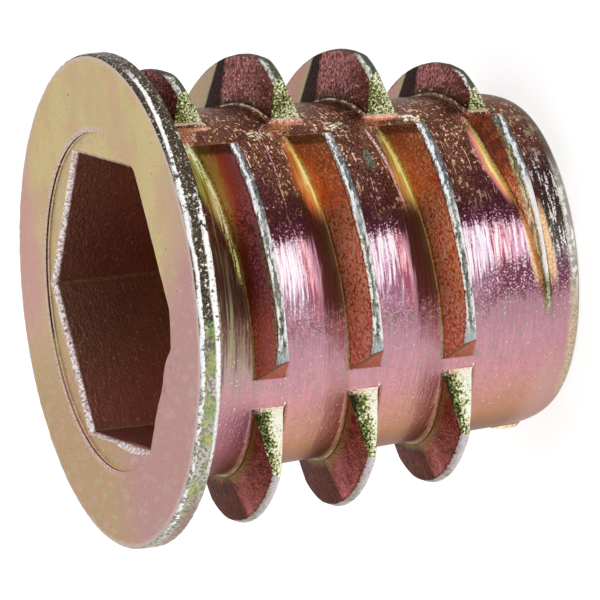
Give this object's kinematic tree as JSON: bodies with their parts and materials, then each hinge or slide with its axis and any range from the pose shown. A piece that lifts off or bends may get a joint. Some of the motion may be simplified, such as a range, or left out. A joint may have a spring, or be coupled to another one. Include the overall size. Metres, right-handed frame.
{
  "type": "threaded insert",
  "caption": "Flanged threaded insert for wood: hex socket in a thin round flange, tapered round body with an interrupted coarse outer thread, and a threaded bore.",
  "frame": {"origin": "centre of the pilot end, on the axis of the bore, on the surface that the insert stands on", "axes": "+Z along the bore from the pilot end to the flange face; +X is the line of draw of the mould slide whose ridges are seen in profile at the top of the reference view"},
  "size_m": [0.0144, 0.0144, 0.013],
  "materials": {
    "passivated_zinc": "die-cast zinc alloy with an iridescent yellow chromate: straw and pink on the flange, plum and orange on the body, bare bright wear on the thread crests"
  },
  "bodies": {
    "root": {"threaded_insert": "passivated_zinc"}
  },
  "joints": []
}
